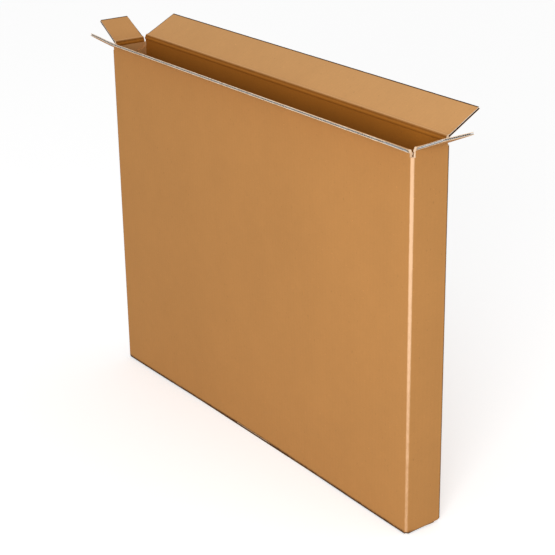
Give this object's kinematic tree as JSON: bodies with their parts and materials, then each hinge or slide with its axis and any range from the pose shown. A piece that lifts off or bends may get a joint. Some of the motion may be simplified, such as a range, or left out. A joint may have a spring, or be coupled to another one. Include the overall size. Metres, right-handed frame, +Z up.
{
  "type": "open corrugated shipping carton",
  "caption": "Slim tall corrugated shipping carton, standing open at the top with its closing flaps folded outwards; holds flat goods such as frames or panels.",
  "frame": {"origin": "middle of the carton's length and depth, on the surface that its base stands on", "axes": "+X along the length, the glue tab at the -X end; +Y from the front wall to the rear wall; +Z up out of the open mouth"},
  "size_m": [0.9367, 0.1763, 0.6511],
  "materials": {
    "kraft_board": "plain brown kraft liner, matt, fine vertical fibres and flecks"
  },
  "bodies": {
    "carton": {"carton_body": "kraft_board"},
    "front_leaf": {"front_flap": "kraft_board"},
    "rear_leaf": {"rear_flap": "kraft_board"},
    "left_leaf": {"left_flap": "kraft_board"},
    "right_leaf": {"right_flap": "kraft_board"}
  },
  "joints": [
    {"name": "front_flap_fold", "type": "hinge", "parent": "carton", "child": "front_leaf", "pos_m": [0, -0.03515, 0.606], "axis": [-1, 0, 0], "range_deg": [-114, 154]},
    {"name": "rear_flap_fold", "type": "hinge", "parent": "carton", "child": "rear_leaf", "pos_m": [0, 0.03515, 0.6146], "axis": [1, 0, 0], "range_deg": [-117.5, 150.5]},
    {"name": "left_flap_fold", "type": "hinge", "parent": "carton", "child": "left_leaf", "pos_m": [-0.41415, 0, 0.6103], "axis": [0, 1, 0], "range_deg": [-118, 150]},
    {"name": "right_flap_fold", "type": "hinge", "parent": "carton", "child": "right_leaf", "pos_m": [0.41415, 0, 0.6103], "axis": [0, -1, 0], "range_deg": [-112.5, 155.5]}
  ]
}
